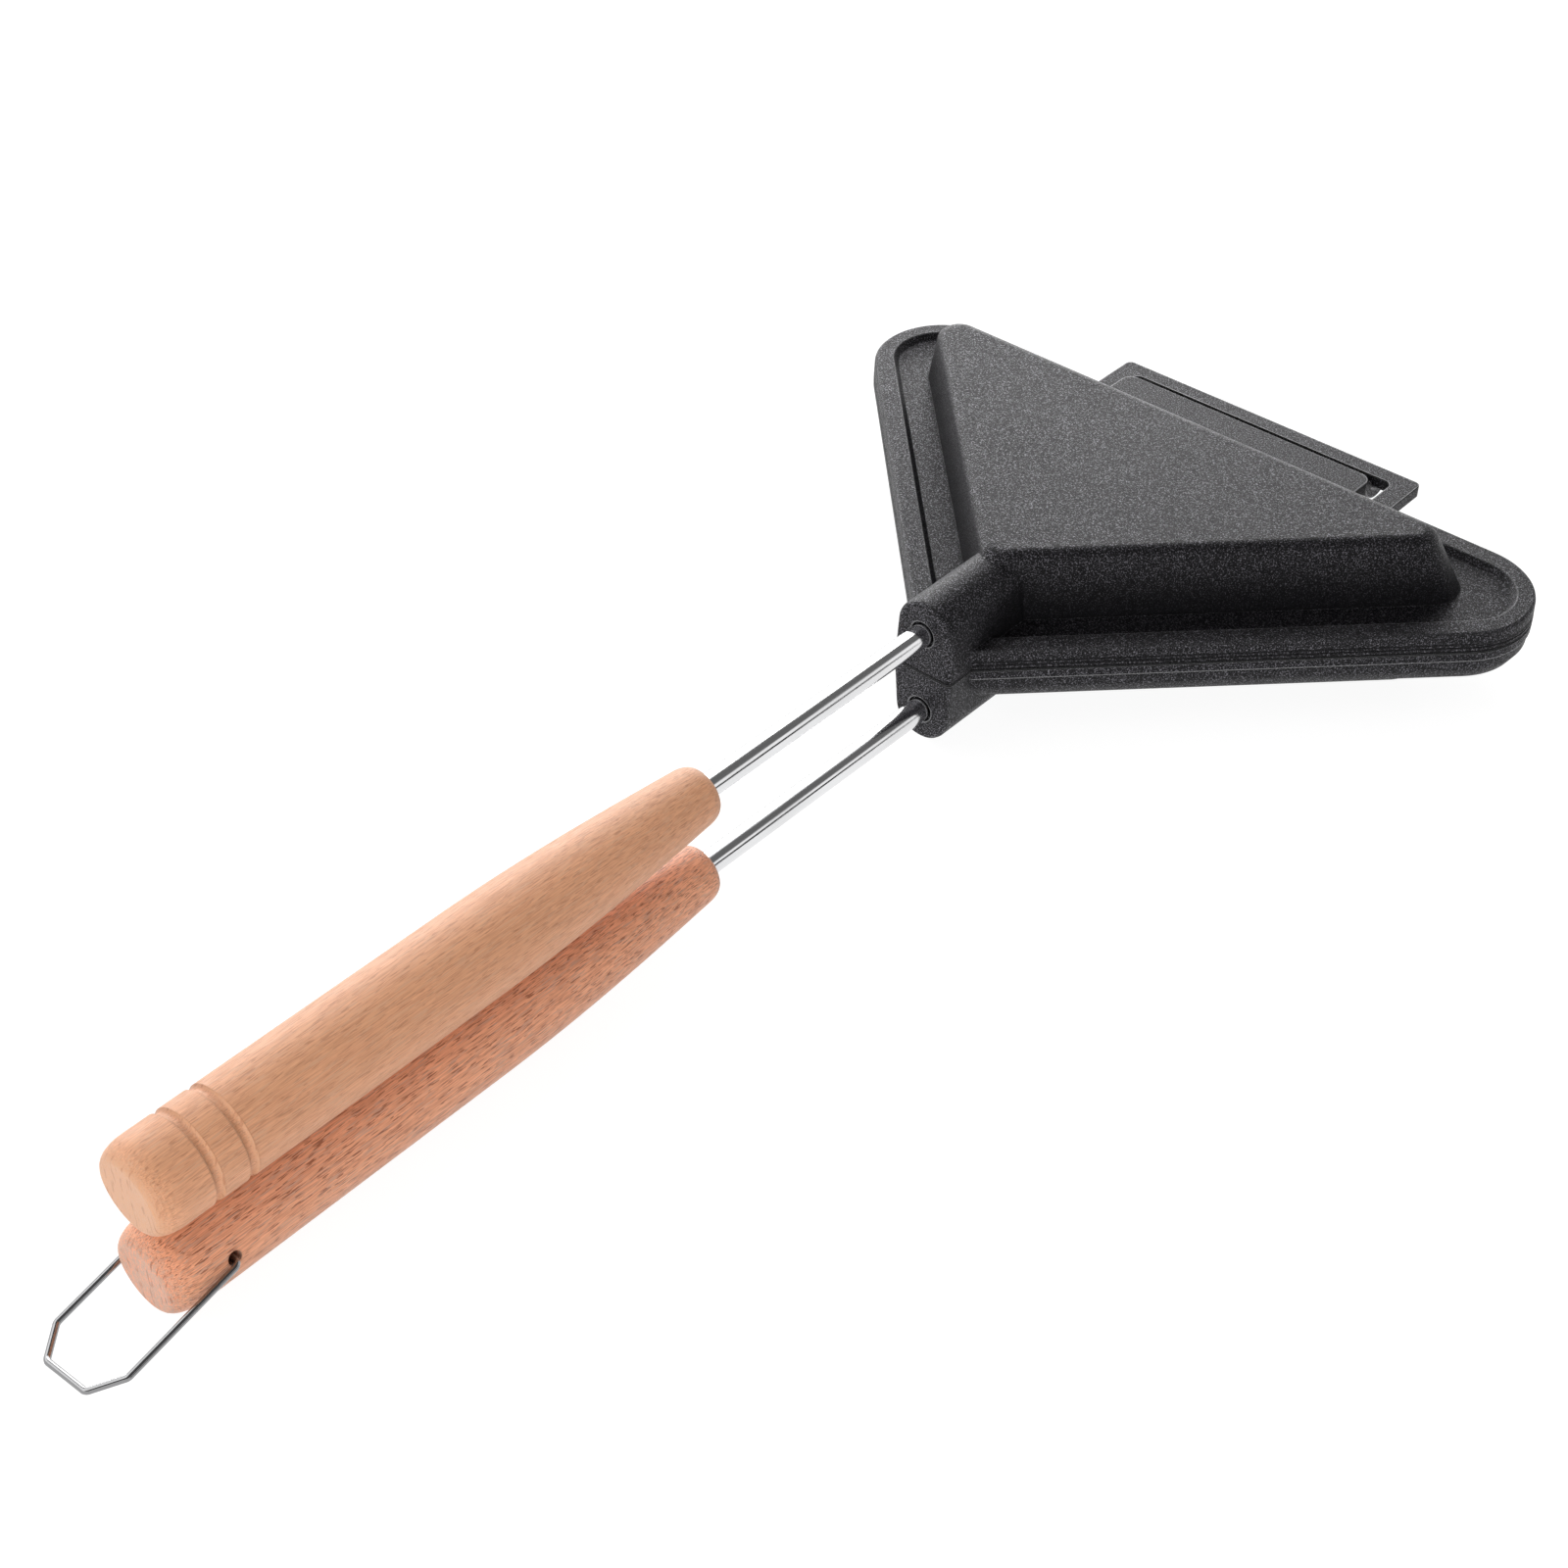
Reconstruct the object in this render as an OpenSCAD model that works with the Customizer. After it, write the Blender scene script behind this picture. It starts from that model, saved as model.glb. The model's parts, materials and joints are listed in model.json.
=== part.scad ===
// Stovetop sandwich maker: two triangular cast pans, hinged along their long side,
// each on a steel rod with a turned wooden grip. Millimetres, +Z up.
// Origin: middle of the lower pan's flat bottom. The handles point to -Y, the hinge is at +Y.

/* [Pans] */
// Distance from the middle of a plate to each of its three sides
plate_reach = 49.7; // [44:0.1:60]
// Radius of the plate's two outer corners
plate_corner_r = 18.5; // [8:0.5:24]
// Radius of the plate's third corner, inside the handle socket
plate_tip_r = 3; // [1:0.5:6]
// Height of each pan from the parting face to its flat face
pan_h = 20.5; // [18:0.1:30]
// Gap between the closed pans
parting_gap = 0.3; // [0.2:0.05:0.6]
// Thickness of the upper pan's rim
upper_rim_t = 5.1; // [4.6:0.1:7]
// Thickness of the lower pan's rim
lower_rim_t = 8.8; // [7.5:0.1:10]
// Width of the raised rim round the plate
rim_w = 5.2; // [4:0.1:7]
// Thickness of the plate under the channel between rim and pan
plate_t = 3.4; // [2.8:0.1:4]
// Draft of the channel's outer wall
channel_draft = 1.3; // [0.4:0.1:2]
// Radius of the channel's outer corners
channel_corner_r = 12.8; // [6:0.1:18]
// How far the rim's outer wall leans in from the parting face
rim_draft = 0.2; // [0.1:0.1:1]
// Rounding of the upper rim's outer edge
upper_rim_round = 0.8; // [0.4:0.1:1.4]
// Height of the first fine groove over the parting face
seam_groove_z = 1.2; // [1:0.1:1.5]
// Distance between the two fine grooves beside the parting face
seam_groove_pitch = 0.9; // [0.7:0.1:1.2]
// Width of those grooves
seam_groove_w = 0.3; // [0.2:0.05:0.4]
// Depth of those grooves
seam_groove_depth = 0.35; // [0.2:0.05:0.6]
// Height of the lower rim's upright wall, band included
lower_wall_h = 5.6; // [4.6:0.1:6.6]
// How far the lower rim slants in below that wall
lower_slant = 1.8; // [0.8:0.1:2.6]
// Rounding where that slant meets the rim's flat edge
lower_rim_round = 0.6; // [0.3:0.1:1]
// Height of the band beside the parting face on the lower rim
band_h = 2.7; // [2:0.1:3.6]
// How far that band stands out from the wall below it
band_step = 0.35; // [0.2:0.05:0.8]

/* [Pan walls] */
// Distance from the middle to the foot of the walls beside the handle
foot_leg = 36.1; // [32:0.1:38]
// Distance from the middle to the foot of the wall beside the hinge
foot_hinge = 37.4; // [34:0.1:38]
// Draft of the walls beside the handle, foot to flat face
leg_draft = 1.6; // [0.8:0.1:3]
// Draft of the wall beside the hinge, foot to flat face
hinge_draft = 8; // [4:0.1:9]
// Corner radius of the walls at their foot
foot_corner_r = 8.2; // [6:0.1:10]
// Corner radius of the walls at the flat face
top_corner_r = 5.2; // [5:0.1:8]
// Radius of the walls' third corner, towards the handle
wall_tip_r = 3.6; // [3:0.1:6]
// Rounding of the flat face's edges
edge_r = 2.8; // [1.5:0.1:3.4]
// Wall thickness of the pans
wall_t = 3.2; // [2.5:0.1:3.2]
// Rounding inside the pans, wall to floor
inside_r = 1.6; // [1:0.1:1.7]

/* [Handle sockets] */
// Distance from the middle of the plate to the socket's end face
socket_reach = 70; // [66:0.5:80]
// Half width of a socket at the parting face
socket_half_w = 8.2; // [7.8:0.1:10]
// Radius of the socket's round back
socket_back_r = 7.3; // [6.5:0.1:7.6]
// Height of the round back's centre over the parting face
socket_back_z = 11.3; // [10:0.1:12]
// Rounding of the end face's edge
socket_edge_r = 1.2; // [0.5:0.1:2]
// Depth of the rod's bore
socket_depth = 20; // [14:0.5:21]
// Width of the step round the rod where it enters
mouth_step = 0.4; // [0.2:0.05:0.8]
// Depth of that step
mouth_depth = 1.2; // [0.6:0.1:3]

/* [Rods] */
// Diameter of the rods
rod_d = 5.5; // [4.5:0.1:6]
// Distance of each rod's axis from the parting face
rod_z = 10.5; // [10.4:0.1:11.4]
// Chamfer of the rod ends
rod_chamfer = 0.5; // [0.2:0.1:1]
// Play between a rod and its bores, on the radius
rod_clear = 0.05; // [0.02:0.01:0.1]
// Free space at the bottom of a bore
end_clear = 0.3; // [0.2:0.1:0.6]
// Diameter of the cross pins
pin_d = 2.5; // [1.5:0.1:3]
// Distance of a cross pin from the socket's end face
pin_inset = 9; // [6:0.5:12]
// How far a cross pin lies below the parting face
pin_sink = 0.5; // [0.3:0.1:1.5]
// Metal left over a cross pin at the socket's back
pin_roof = 2.6; // [1.5:0.1:4]
// Play between a cross pin and its holes, on the radius
pin_clear = 0.03; // [0.02:0.01:0.08]

/* [Grips] */
// Bare rod between the socket's end face and the upper grip
upper_bare_rod = 71.5; // [50:0.1:90]
// Bare rod between the socket's end face and the lower grip
lower_bare_rod = 72.3; // [50:0.1:90]
// Length of the grips
grip_len = 145; // [120:0.5:180]
// Largest radius of a grip
grip_r = 9.8; // [9:0.1:10]
// Radius of a grip where it begins
grip_front_r = 6.5; // [5.5:0.1:8]
// Length over which a grip swells
grip_swell = 65; // [40:1:90]
// Length of the rounding at a grip's front
nose_len = 3; // [1:0.1:6]
// How far that rounding falls in
nose_depth = 1; // [0.5:0.1:2]
// Length of the rounding at the upper grip's butt
upper_crown_len = 5.5; // [2:0.1:7]
// How far that rounding falls in
upper_crown_depth = 2.5; // [1:0.1:4]
// Length of the rounding at the lower grip's butt
lower_crown_len = 7; // [2:0.1:8]
// How far that rounding falls in
lower_crown_depth = 3; // [1:0.1:4]
// Depth of the rod's bore in a grip
grip_bore_depth = 100; // [60:1:115]
// Distance of the first turned groove from the upper butt
groove_inset = 12.6; // [8:0.1:18]
// Distance between the two grooves
groove_pitch = 7.6; // [5:0.1:12]
// Radius of the tool mark that makes a groove
groove_r = 1.1; // [0.6:0.1:1.6]
// Depth of the grooves
groove_depth = 0.7; // [0.3:0.05:1]

/* [Hanging loop] */
// Diameter of the wire
wire_d = 1.4; // [1.1:0.1:1.6]
// Diameter of the cross hole in the lower grip
loop_hole_d = 3; // [2.6:0.1:3.4]
// Distance of the cross hole from the lower butt
loop_hole_inset = 13.2; // [10:0.1:18]
// Angle of the cross hole to level, its right end up
loop_roll = 8.5; // [0:0.5:12]
// Space between the wire and the bottom of its hole
loop_seat = 0.3; // [0.2:0.05:0.5]
// Space between the wire and the grip's side
loop_side_clear = 0.5; // [0.35:0.05:1]
// Length of the loop from its pivot to the middle of its end
loop_len = 33.5; // [30:0.1:45]
// Length of the loop's straight legs
loop_leg_len = 27.3; // [22:0.1:29]
// Half width of the loop's end
loop_tip_half_w = 6; // [3:0.1:8]
// How far each wire end reaches into the hole
loop_stub = 7; // [4:0.1:8.5]
// Radius of the bend from a wire end to a leg
loop_bend_r = 1.6; // [1.2:0.1:2]
// Angle of the loop below level, as it lies
loop_droop = 13; // [4:0.5:13]

/* [Hinge] */
// Half width of the eye on the lower pan
eye_half_w = 44.1; // [36:0.1:50]
// Distance from the middle of the plate to the eye's far edge
eye_reach = 70; // [66:0.1:76]
// Width of the eye's bar
eye_bar_w = 4.6; // [3.5:0.1:5.5]
// Width of the eye's two sides
eye_side_w = 5.6; // [4:0.1:8]
// Thickness of the eye
eye_t = 3.1; // [2.4:0.1:3.4]
// Outer corner radius of the eye
eye_corner_r = 1.6; // [1:0.1:7]
// Corner radius of the slot
slot_corner_r = 2; // [1:0.1:4]
// Play of the tongue at each side of the slot
tongue_side_clear = 2; // [0.5:0.1:4]
// Distance from the middle of the plate to the tongue's edge
tongue_reach = 58.6; // [56:0.1:60]
// Radius of the tongue's two corners at the slot
tongue_corner_r = 3; // [1:0.5:6]
// Height of the tongue's top over the parting face
tongue_top = 4; // [3:0.1:5]
// Height of the tongue's underside over the parting face
tongue_under = 0.6; // [0.4:0.1:1.4]
// Play of the hook round the bar's corners
hook_clear = 0.35; // [0.3:0.05:0.8]
// Thickness of the hook
hook_t = 2.4; // [1.8:0.1:3]
// Angle, from the hinge side, at which the arm meets the hook
hook_start = 200; // [190:1:215]
// Angle, from the hinge side, at which the hook's end stands
hook_end = 300; // [275:1:310]

/* [Hidden] */
half_gap = parting_gap / 2;
parting_z = pan_h;
root2 = sqrt(2);
skin = 0.01;
fine = 96;
wall_fine = 64;
cut = 1;
round_steps = 5;
rim_steps = 3;
profile_steps = 24;
crown_steps = 8;
quarter = 90;

channel_reach = plate_reach - rim_w;

rod_start_y = -socket_reach + socket_depth - end_clear;
bore_r = rod_d / 2 + rod_clear;
pin_y = -socket_reach + pin_inset;
pin_top = socket_back_z + socket_back_r - pin_roof;
pin_len = pin_top - half_gap - pin_sink;

wire_r = wire_d / 2;
loop_half_w = grip_r + loop_side_clear + wire_r;
loop_y = grip_front_y(-1) - grip_len + loop_hole_inset;
loop_drop = loop_hole_d / 2 - wire_r - loop_seat;
tip_dx = loop_half_w - loop_tip_half_w;
tip_ds = loop_len - loop_leg_len;
tip_run = sqrt(tip_dx * tip_dx + tip_ds * tip_ds);
tip_turn = atan2(tip_dx, tip_ds);
tip_bend = loop_bend_r * tan(45 - tip_turn / 2);
leg_bend = loop_bend_r * tan(tip_turn / 2);
wire_lap = 0.1;
wire_lap_step = 0.01;

bar_y = eye_reach - eye_bar_w / 2;
bar_z = -half_gap - eye_t / 2;
bar_corner = sqrt(eye_bar_w * eye_bar_w + eye_t * eye_t) / 2;
hook_in_r = bar_corner + hook_clear;
hook_out_r = hook_in_r + hook_t;
arm_t = hook_t + cut;
tongue_half_w = eye_half_w - eye_side_w - tongue_side_clear;
slot_reach = eye_reach - eye_bar_w;

pan_color = [0.30, 0.30, 0.31];
steel_color = [0.80, 0.81, 0.82];
upper_wood_color = [0.80, 0.62, 0.46];
lower_wood_color = [0.72, 0.46, 0.32];

// Where a grip begins and where its rod ends; side 1 is the upper half, side -1 the lower
function grip_front_y(side) = -socket_reach - (side > 0 ? upper_bare_rod : lower_bare_rod);
function rod_len(side) = rod_start_y - grip_front_y(side) + grip_bore_depth - end_clear;

// Centre of the circle that rounds an outer corner, the side distances measured from the middle
function corner_x(leg, hinge, r) = hinge - r + root2 * (leg - r);

// Plan of a plate: a right triangle with rounded corners, its right angle towards the handle
module plan(leg, hinge, r, tip_r, fn) {
    cx = corner_x(leg, hinge, r);
    cy = hinge - r;
    tip_y = -root2 * (leg - tip_r);
    d = r / root2;
    e = tip_r / root2;
    polygon([[-cx, hinge], [-cx - d, cy - d], [-e, tip_y - e],
             [e, tip_y - e], [cx + d, cy - d], [cx, hinge]]);
    translate([-cx, cy]) circle(r = r, $fn = fn);
    translate([cx, cy]) circle(r = r, $fn = fn);
    translate([0, tip_y]) circle(r = tip_r, $fn = fn);
}

// A thin slice of that plan at height z
module slice(leg, hinge, r, tip_r, z, fn) {
    translate([0, 0, z]) linear_extrude(skin) plan(leg, hinge, r, tip_r, fn);
}

// The plate's plan, drawn inwards by "in"
module plate_plan(in) {
    plan(plate_reach - in, plate_reach - in, plate_corner_r - in, plate_tip_r, fine);
}

module plate_slice(in, z) {
    translate([0, 0, z]) linear_extrude(skin) plate_plan(in);
}

// Raised or hollow form of a pan: walls with their own draft on each side and rounder corners at
// the foot, which roll over into a flat face; "in" draws it inwards by the wall's thickness
module drafted(in, z0, z1, round_r) {
    function rise(z) = (z - plate_t) / (pan_h - plate_t);
    function corner_r(z) = foot_corner_r + (top_corner_r - foot_corner_r) * rise(z) - in;
    tip_r = in > 0 ? inside_r : wall_tip_r;
    hull() {
        slice(foot_leg - in - leg_draft * rise(z0), foot_hinge - in - hinge_draft * rise(z0),
              corner_r(z0), tip_r, z0, wall_fine);
        for (i = [0 : round_steps]) {
            a = quarter * i / round_steps;
            z = z1 - round_r * (1 - sin(a));
            roll = round_r * (1 - cos(a));
            slice(foot_leg - in - leg_draft * rise(z) - roll, foot_hinge - in - hinge_draft * rise(z) - roll,
                  corner_r(z) - roll, tip_r, z - skin, wall_fine);
        }
    }
}

// Upper rim: a rounded outer edge, and two fine grooves beside the parting face
module upper_plate() {
    difference() {
        hull() {
            plate_slice(0, half_gap);
            for (i = [0 : rim_steps]) {
                a = quarter * i / rim_steps;
                plate_slice(rim_draft + upper_rim_round * (1 - cos(a)),
                            upper_rim_t - skin - upper_rim_round * (1 - sin(a)));
            }
        }
        channel(upper_rim_t);
        for (i = [0 : 1])
            translate([0, 0, seam_groove_z + i * seam_groove_pitch - seam_groove_w / 2])
                linear_extrude(seam_groove_w) difference() {
                    plate_plan(-cut);
                    plate_plan(seam_groove_depth);
                }
    }
}

// Lower rim: a band beside the parting face, an upright wall, then a slant down to the rim's edge
module lower_plate() {
    slant_in = band_step + lower_slant;
    difference() {
        union() {
            translate([0, 0, half_gap]) linear_extrude(band_h - half_gap) plate_plan(0);
            hull() {
                plate_slice(band_step, half_gap);
                plate_slice(band_step + rim_draft, lower_wall_h);
                for (i = [0 : rim_steps]) {
                    a = quarter * i / rim_steps;
                    plate_slice(slant_in + lower_rim_round * (1 - cos(a)),
                                lower_rim_t - skin - lower_rim_round * (1 - sin(a)));
                }
            }
        }
        channel(lower_rim_t);
    }
}

// The sunk channel between rim and pan, its outer wall drafted
module channel(rim_t) {
    hull() for (s = [0, 1])
        slice(channel_reach - s * channel_draft, channel_reach - s * channel_draft,
              channel_corner_r - s * channel_draft, plate_tip_r,
              s == 1 ? plate_t : rim_t, fine);
}

// Outline of a handle socket, seen along the rod, drawn inwards by "in"
module socket_outline(in) {
    polygon([[-socket_half_w + in, half_gap], [socket_half_w - in, half_gap],
             [socket_back_r - in, socket_back_z], [-socket_back_r + in, socket_back_z]]);
    translate([0, socket_back_z]) circle(r = socket_back_r - in, $fn = 64);
}

// Handle socket from its rounded end face up to the pan's wall
module socket() {
    len = socket_reach - root2 * (foot_leg - wall_t - foot_corner_r);
    hull() {
        for (i = [0 : 3]) {
            a = 30 * i;
            translate([0, -socket_reach + socket_edge_r * (1 - cos(a)), 0])
                rotate([90, 0, 0]) mirror([0, 0, 1]) linear_extrude(skin)
                    socket_outline(socket_edge_r * (1 - sin(a)));
        }
        translate([0, -socket_reach + len, 0]) rotate([90, 0, 0]) linear_extrude(skin) socket_outline(0);
    }
}

// Holes for the rod, its step at the mouth and its cross pin
module socket_holes() {
    translate([0, -socket_reach + socket_depth, rod_z]) rotate([90, 0, 0])
        cylinder(h = socket_depth + cut, r = bore_r, $fn = 64);
    translate([0, -socket_reach + mouth_depth, rod_z]) rotate([90, 0, 0])
        cylinder(h = mouth_depth + cut, r = bore_r + mouth_step, $fn = 64);
    translate([0, pin_y, 0]) cylinder(h = pin_top + end_clear, r = pin_d / 2 + pin_clear, $fn = 32);
}

// What both pans share, drawn upwards from the parting face
module pan_half() {
    difference() {
        union() {
            children();
            drafted(0, half_gap, pan_h, edge_r);
            socket();
        }
        drafted(wall_t, 0, pan_h - wall_t, inside_r);
        socket_holes();
    }
}

// Eye on the lower pan: a flat frame whose far bar carries the hook
module eye() {
    inner = plate_reach - plate_corner_r;
    translate([0, 0, half_gap]) linear_extrude(eye_t) difference() {
        union() {
            translate([-eye_half_w, inner]) square([2 * eye_half_w, eye_reach - eye_corner_r - inner]);
            translate([-eye_half_w + eye_corner_r, inner])
                square([2 * (eye_half_w - eye_corner_r), eye_reach - inner]);
            for (s = [-1, 1]) translate([s * (eye_half_w - eye_corner_r), eye_reach - eye_corner_r])
                circle(r = eye_corner_r, $fn = 64);
        }
        slot_plan();
    }
}

// The slot between the plate and the eye's bar
module slot_plan() {
    w = eye_half_w - eye_side_w;
    near = plate_reach - plate_corner_r - cut;
    translate([-w, near]) square([2 * w, slot_reach - slot_corner_r - near]);
    translate([-w + slot_corner_r, near]) square([2 * (w - slot_corner_r), slot_reach - near]);
    for (s = [-1, 1]) translate([s * (w - slot_corner_r), slot_reach - slot_corner_r])
        circle(r = slot_corner_r, $fn = 32);
}

// Side view of the tongue: a flat arm that turns down through the slot and hooks round the bar
module hook_outline() {
    root = plate_reach - rim_w;
    a = hook_start;
    translate([root, tongue_under]) square([tongue_reach - root, tongue_top - tongue_under]);
    polygon([[tongue_reach, tongue_top],
             [bar_y - hook_in_r, bar_z],
             [bar_y + hook_out_r * cos(a), bar_z + hook_out_r * sin(a)],
             [tongue_reach - arm_t, tongue_under]]);
    intersection() {
        translate([bar_y, bar_z]) difference() {
            circle(r = hook_out_r, $fn = fine);
            circle(r = hook_in_r, $fn = fine);
        }
        translate([bar_y, bar_z]) polygon([[0, 0], [-2 * hook_out_r, 0], [-2 * hook_out_r, -2 * hook_out_r],
            [2 * hook_out_r * cos(hook_end), 2 * hook_out_r * sin(hook_end)]]);
    }
}

// Plan of the tongue: full width up to its rounded corners, a little narrower where it hooks
module tongue_plan() {
    hook_w = tongue_half_w - tongue_corner_r;
    far = eye_reach + hook_out_r;
    translate([-tongue_half_w, 0]) square([2 * tongue_half_w, tongue_reach - tongue_corner_r]);
    translate([-hook_w, 0]) square([2 * hook_w, far]);
    for (s = [-1, 1]) translate([s * hook_w, tongue_reach - tongue_corner_r])
        circle(r = tongue_corner_r, $fn = wall_fine);
}

module tongue() {
    depth = 2 * hook_out_r;
    intersection() {
        translate([-tongue_half_w, 0, 0]) rotate([90, 0, 90])
            linear_extrude(2 * tongue_half_w) hook_outline();
        translate([0, 0, bar_z - depth]) linear_extrude(2 * depth + tongue_top) tongue_plan();
    }
}

// Turned grip with its axis on +Z: a rounded nose, a swell to full width and a crowned butt
module grip_body(crown_len, crown_depth) {
    function swell(s) = grip_front_r + (grip_r - grip_front_r) * sin(quarter * s / grip_swell);
    rotate_extrude($fn = 128) polygon(concat(
        [[0, 0]],
        [for (i = [0 : crown_steps]) let (a = quarter * i / crown_steps)
            [swell(nose_len * (1 - cos(a))) - nose_depth * (1 - sin(a)), nose_len * (1 - cos(a))]],
        [for (i = [1 : profile_steps]) let (s = nose_len + (grip_swell - nose_len) * i / profile_steps)
            [swell(s), s]],
        [for (i = [0 : crown_steps]) let (a = quarter * i / crown_steps)
            [grip_r - crown_depth * (1 - cos(a)), grip_len - crown_len * (1 - sin(a))]],
        [[0, grip_len]]));
}

module grip_bore() {
    translate([0, 0, -cut]) cylinder(h = grip_bore_depth + cut, r = bore_r, $fn = 64);
}

// Lays a turned piece along the handle, its front end at the grip's front
module on_rod_axis(side) {
    translate([0, grip_front_y(side), parting_z + side * rod_z]) rotate([90, 0, 0]) children();
}

module lower_pan() {
    color(pan_color) translate([0, 0, parting_z]) mirror([0, 0, 1]) {
        pan_half() lower_plate();
        eye();
    }
}

module upper_pan() {
    color(pan_color) translate([0, 0, parting_z]) {
        pan_half() upper_plate();
        tongue();
    }
}

module rod(side) {
    len = rod_len(side);
    color(steel_color) translate([0, rod_start_y, parting_z + side * rod_z]) rotate([90, 0, 0])
        difference() {
            union() {
                cylinder(h = rod_chamfer, r1 = rod_d / 2 - rod_chamfer, r2 = rod_d / 2, $fn = 64);
                translate([0, 0, rod_chamfer])
                    cylinder(h = len - 2 * rod_chamfer, r = rod_d / 2, $fn = 64);
                translate([0, 0, len - rod_chamfer])
                    cylinder(h = rod_chamfer, r1 = rod_d / 2, r2 = rod_d / 2 - rod_chamfer, $fn = 64);
            }
            translate([0, rod_d, rod_start_y - pin_y]) rotate([90, 0, 0])
                cylinder(h = 2 * rod_d, r = pin_d / 2 + pin_clear, $fn = 32);
        }
}

module rod_pin(side) {
    color(steel_color) translate([0, pin_y, parting_z]) mirror([0, 0, side < 0 ? 1 : 0])
        translate([0, 0, half_gap + pin_sink]) cylinder(h = pin_len, r = pin_d / 2, $fn = 32);
}

module lower_rod() {
    rod(-1);
}

module upper_rod() {
    rod(1);
}

module lower_rod_pin() {
    rod_pin(-1);
}

module upper_rod_pin() {
    rod_pin(1);
}

module upper_grip() {
    color(upper_wood_color) on_rod_axis(1) difference() {
        grip_body(upper_crown_len, upper_crown_depth);
        grip_bore();
        for (i = [0 : 1])
            translate([0, 0, grip_len - groove_inset - i * groove_pitch])
                rotate_extrude($fn = 128) translate([grip_r + groove_r - groove_depth, 0])
                    circle(r = groove_r, $fn = 32);
    }
}

module lower_grip() {
    color(lower_wood_color) on_rod_axis(-1) difference() {
        grip_body(lower_crown_len, lower_crown_depth);
        grip_bore();
        rotate([0, 0, loop_roll]) translate([-grip_r - cut, 0, grip_len - loop_hole_inset])
            rotate([0, 90, 0]) cylinder(h = 2 * (grip_r + cut), r = loop_hole_d / 2, $fn = 48);
    }
}

// A bend of the wire in the loop's plane, starting along +X at the origin and turning towards +Y
module wire_bend(turn) {
    translate([0, loop_bend_r, 0]) rotate([0, 0, -quarter]) rotate_extrude(angle = turn, $fn = fine)
        translate([loop_bend_r, 0]) circle(r = wire_r, $fn = 24);
}

// A straight run of the wire along +X, its ends drawn a hair finer and let into the bends
module wire_run(len) {
    translate([-wire_lap, 0, 0]) rotate([0, 90, 0])
        cylinder(h = len + 2 * wire_lap, r = wire_r - wire_lap_step, $fn = 24);
}

// Half of the loop: the end in the hole, a leg, and the slanted run to the loop's end
module half_loop() {
    translate([loop_half_w - loop_bend_r - loop_stub, 0, 0]) wire_run(loop_stub);
    translate([loop_half_w - loop_bend_r, 0, 0]) wire_bend(quarter);
    translate([loop_half_w, loop_bend_r, 0]) rotate([0, 0, 90])
        wire_run(loop_leg_len - loop_bend_r - leg_bend);
    translate([loop_half_w, loop_leg_len - leg_bend, 0]) rotate([0, 0, 90]) wire_bend(tip_turn);
    translate([loop_half_w, loop_leg_len, 0]) rotate([0, 0, quarter + tip_turn]) translate([leg_bend, 0, 0])
        wire_run(tip_run - leg_bend - tip_bend);
    translate([loop_tip_half_w - tip_bend, loop_len, 0]) mirror([0, 1, 0]) wire_bend(quarter - tip_turn);
}

module hanging_loop() {
    end_w = loop_tip_half_w - tip_bend;
    color(steel_color) translate([0, loop_y, parting_z - rod_z]) rotate([0, -loop_roll, 0])
        translate([0, 0, -loop_drop]) rotate([loop_droop, 0, 0]) rotate([0, 0, 180]) {
            half_loop();
            mirror([1, 0, 0]) half_loop();
            translate([-end_w, loop_len, 0]) wire_run(2 * end_w);
        }
}

lower_pan();
upper_pan();
lower_rod();
upper_rod();
lower_rod_pin();
upper_rod_pin();
lower_grip();
upper_grip();
hanging_loop();
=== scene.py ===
"""Stovetop sandwich maker: finishes for the pans, rods, grips and hanging loop, and their studio stage."""

import json
import math

import bpy
from mathutils import Matrix, Vector

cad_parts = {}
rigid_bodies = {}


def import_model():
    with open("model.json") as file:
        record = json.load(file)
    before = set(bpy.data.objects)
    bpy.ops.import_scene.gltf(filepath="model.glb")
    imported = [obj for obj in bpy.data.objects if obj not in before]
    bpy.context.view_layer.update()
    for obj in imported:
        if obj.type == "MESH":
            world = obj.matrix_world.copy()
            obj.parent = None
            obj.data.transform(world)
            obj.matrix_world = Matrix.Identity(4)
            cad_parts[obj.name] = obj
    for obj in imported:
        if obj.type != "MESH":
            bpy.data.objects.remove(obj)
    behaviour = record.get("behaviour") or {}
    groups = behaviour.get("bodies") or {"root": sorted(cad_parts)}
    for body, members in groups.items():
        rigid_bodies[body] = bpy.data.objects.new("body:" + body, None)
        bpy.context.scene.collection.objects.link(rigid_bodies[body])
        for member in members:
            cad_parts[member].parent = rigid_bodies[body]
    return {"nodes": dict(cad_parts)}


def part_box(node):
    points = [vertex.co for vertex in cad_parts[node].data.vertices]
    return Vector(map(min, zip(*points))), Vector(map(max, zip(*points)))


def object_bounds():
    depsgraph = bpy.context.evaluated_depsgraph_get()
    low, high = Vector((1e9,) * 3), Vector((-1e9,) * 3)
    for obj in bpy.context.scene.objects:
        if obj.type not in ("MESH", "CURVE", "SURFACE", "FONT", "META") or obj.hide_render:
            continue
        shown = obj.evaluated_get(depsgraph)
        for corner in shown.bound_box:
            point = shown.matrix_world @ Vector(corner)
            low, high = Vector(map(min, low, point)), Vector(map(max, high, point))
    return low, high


bl_info = {
    "name": "Stovetop sandwich maker",
    "version": (1, 0, 0),
    "blender": (4, 5, 0),
    "location": "3D View > Sidebar > Sandwich maker",
    "description": "Finishes the pieces of a hinged sandwich maker and sets its stage",
    "category": "Object",
}

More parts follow.
